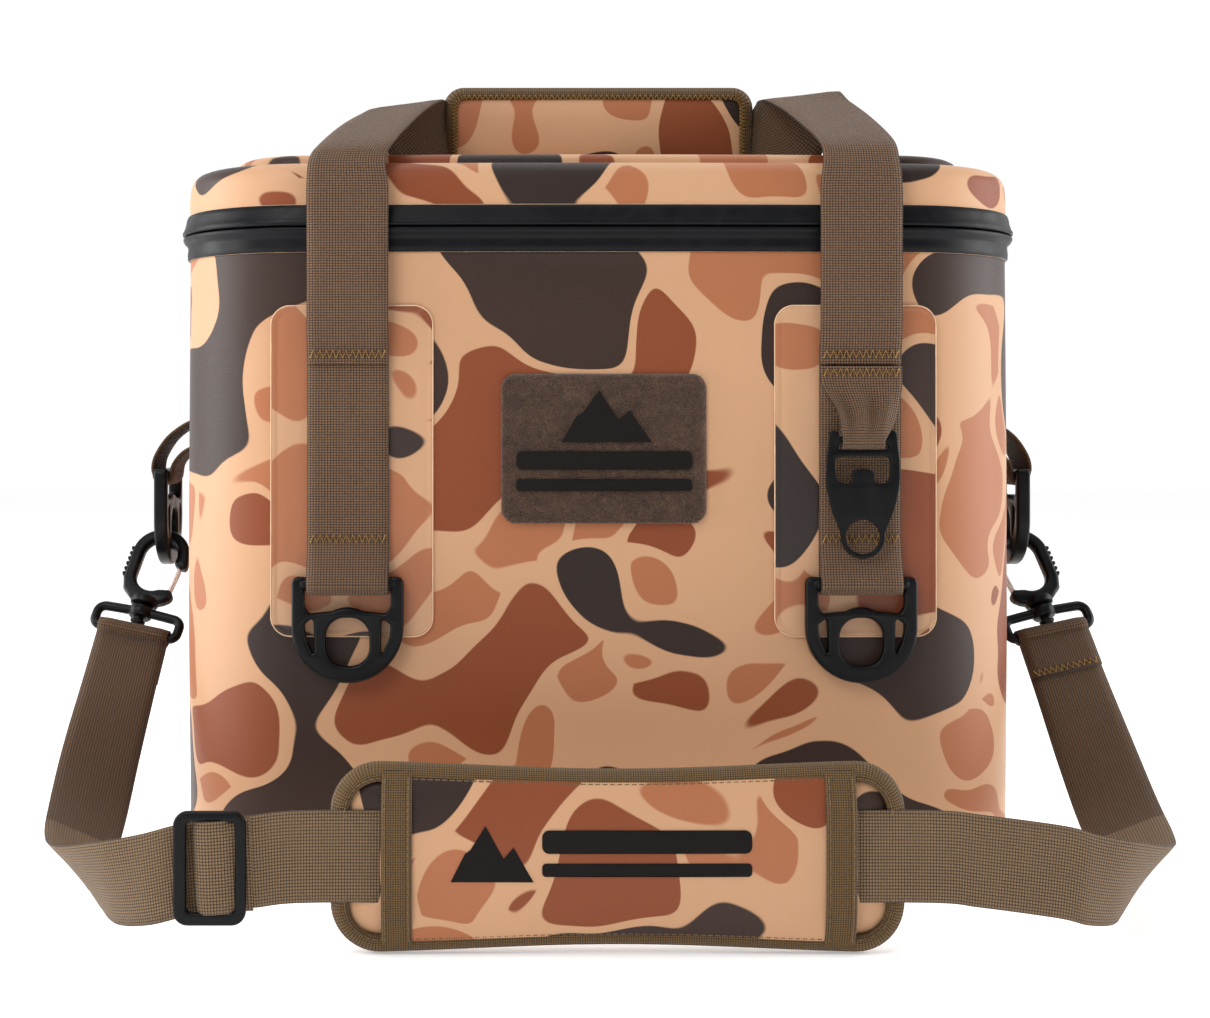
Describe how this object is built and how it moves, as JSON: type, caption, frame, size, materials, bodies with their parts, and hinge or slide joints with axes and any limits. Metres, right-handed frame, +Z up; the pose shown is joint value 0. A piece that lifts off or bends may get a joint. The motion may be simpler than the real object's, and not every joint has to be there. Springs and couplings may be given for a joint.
{
  "type": "insulated cooler bag",
  "caption": "Soft-sided insulated cooler bag with a zipped hinged lid, folding padded handles, shoulder strap, plastic rings and a bottle opener.",
  "frame": {"origin": "centre of the bag's footprint, on the surface it stands on", "axes": "+X to the right seen from the front, +Y to the back, +Z up"},
  "size_m": [0.529, 0.3946, 0.396],
  "materials": {
    "camo_fabric": "matt coated",
    "foam": "matt",
    "liner": "satin",
    "black_rubber": "matt",
    "black_plastic": "satin",
    "black_metal": "satin",
    "steel_wire": "bright",
    "webbing": "woven",
    "binding": "woven",
    "pile": "looped pile"
  },
  "bodies": {
    "cooler_box": {"base_panel": "camo_fabric", "wall_panel": "camo_fabric", "foam_base": "foam", "foam_walls": "foam", "liner": "liner", "body_rim": "black_rubber", "lower_zipper_band": "black_rubber", "lower_zipper_coil": "black_plastic", "rear_hinge_strip": "black_rubber", "front_patches": "camo_fabric", "rear_patches": "camo_fabric", "pile_patch": "pile", "opener_loop": "webbing", "left_side_patch": "camo_fabric", "right_side_patch": "camo_fabric", "left_side_loop": "webbing", "right_side_loop": "webbing", "front_left_anchor": "webbing", "front_right_anchor": "webbing", "rear_left_anchor": "webbing", "rear_right_anchor": "webbing"},
    "lid": {"lid_shell": "camo_fabric", "lid_panel": "camo_fabric", "lid_foam": "foam", "lid_liner": "liner", "upper_zipper_band": "black_rubber", "upper_zipper_coil": "black_plastic"},
    "front_handle": {"front_risers": "webbing", "front_handle_strap": "webbing", "front_grip_pad": "camo_fabric", "front_grip_binding": "binding", "front_grip_strip": "pile"},
    "rear_handle": {"rear_risers": "webbing", "rear_handle_strap": "webbing", "rear_grip_pad": "camo_fabric", "rear_grip_binding": "binding", "rear_grip_strip": "pile"},
    "front_left_ring": {"front_left_ring": "black_plastic"},
    "front_right_ring": {"front_right_ring": "black_plastic"},
    "rear_left_ring": {"rear_left_ring": "black_plastic"},
    "rear_right_ring": {"rear_right_ring": "black_plastic"},
    "left_side_ring": {"left_side_ring": "black_plastic"},
    "right_side_ring": {"right_side_ring": "black_plastic"},
    "bottle_opener": {"bottle_opener": "black_plastic"},
    "zipper_slider": {"zipper_slider": "black_metal"},
    "zipper_pull": {"zipper_pull": "black_metal"},
    "shoulder_strap": {"left_strap": "webbing", "right_strap": "webbing", "strap_middle": "webbing", "strap_slider": "black_plastic", "pad_foam": "camo_fabric", "pad_face": "camo_fabric", "pad_binding": "binding", "pad_keepers": "binding", "left_swivel_bar": "black_plastic", "right_swivel_bar": "black_plastic"},
    "left_hook": {"left_hook": "black_plastic"},
    "left_gate": {"left_gate": "steel_wire"},
    "right_hook": {"right_hook": "black_plastic"},
    "right_gate": {"right_gate": "steel_wire"}
  },
  "joints": [
    {"name": "lid_hinge", "type": "hinge", "parent": "cooler_box", "child": "lid", "pos_m": [0, 0.1362, 0.312], "axis": [-1, 0, 0], "range_deg": [0, 60]},
    {"name": "front_handle_fold", "type": "hinge", "parent": "cooler_box", "child": "front_handle", "pos_m": [0, -0.1422, 0.257], "axis": [1, 0, 0], "range_deg": [0, 144]},
    {"name": "rear_handle_fold", "type": "hinge", "parent": "cooler_box", "child": "rear_handle", "pos_m": [0, 0.1422, 0.257], "axis": [-1, 0, 0], "range_deg": [0, 144]},
    {"name": "front_left_ring_swing", "type": "hinge", "parent": "cooler_box", "child": "front_left_ring", "pos_m": [-0.1195, -0.14082, 0.145], "axis": [-1, 0, 0], "range_deg": [0, 95]},
    {"name": "front_right_ring_swing", "type": "hinge", "parent": "cooler_box", "child": "front_right_ring", "pos_m": [0.1195, -0.14082, 0.145], "axis": [-1, 0, 0], "range_deg": [0, 95]},
    {"name": "rear_left_ring_swing", "type": "hinge", "parent": "cooler_box", "child": "rear_left_ring", "pos_m": [-0.1195, 0.14082, 0.145], "axis": [1, 0, 0], "range_deg": [0, 95]},
    {"name": "rear_right_ring_swing", "type": "hinge", "parent": "cooler_box", "child": "rear_right_ring", "pos_m": [0.1195, 0.14082, 0.145], "axis": [1, 0, 0], "range_deg": [0, 95]},
    {"name": "left_side_ring_swing", "type": "hinge", "parent": "cooler_box", "child": "left_side_ring", "pos_m": [-0.227, 0, 0.193], "axis": [0, 1, 0], "range_deg": [-1.5, 1.5]},
    {"name": "right_side_ring_swing", "type": "hinge", "parent": "cooler_box", "child": "right_side_ring", "pos_m": [0.227, 0, 0.193], "axis": [0, 1, 0], "range_deg": [-1.5, 1.5]},
    {"name": "opener_swing", "type": "hinge", "parent": "cooler_box", "child": "bottle_opener", "pos_m": [0.1195, -0.1456, 0.212], "axis": [-1, 0, 0], "range_deg": [0, 50]},
    {"name": "zipper_slide", "type": "slide", "parent": "cooler_box", "child": "zipper_slider", "axis": [0, -1, 0], "range_m": [0, 0.095]},
    {"name": "pull_swing", "type": "hinge", "parent": "zipper_slider", "child": "zipper_pull", "pos_m": [-0.2139, 0.05, 0.312], "axis": [0, 1, 0], "range_deg": [0, 80]},
    {"name": "strap_swing", "type": "hinge", "parent": "cooler_box", "child": "shoulder_strap", "pos_m": [0, 0, 0.159], "axis": [-1, 0, 0], "range_deg": [0, 60]},
    {"name": "left_hook_turn", "type": "hinge", "parent": "shoulder_strap", "child": "left_hook", "pos_m": [-0.23712, -0.02323, 0.12182], "axis": [0.2251, 0.5162, 0.8263], "range_deg": [-6, 6]},
    {"name": "left_gate_press", "type": "hinge", "parent": "left_hook", "child": "left_gate", "pos_m": [-0.22213, -0.01756, 0.13089], "axis": [0, -0.848, 0.53], "range_deg": [0, 7], "stiffness_Nm_per_rad": 0.05},
    {"name": "right_hook_turn", "type": "hinge", "parent": "shoulder_strap", "child": "right_hook", "pos_m": [0.23712, -0.02323, 0.12182], "axis": [-0.2251, 0.5162, 0.8263], "range_deg": [-6, 6]},
    {"name": "right_gate_press", "type": "hinge", "parent": "right_hook", "child": "right_gate", "pos_m": [0.22213, -0.01756, 0.13089], "axis": [0, 0.848, -0.53], "range_deg": [0, 7], "stiffness_Nm_per_rad": 0.05}
  ],
  "couplings": [
    {"joint": "front_handle_fold", "follows": "lid_hinge", "ratio": 2.4},
    {"joint": "rear_handle_fold", "follows": "lid_hinge", "ratio": 2.4}
  ]
}
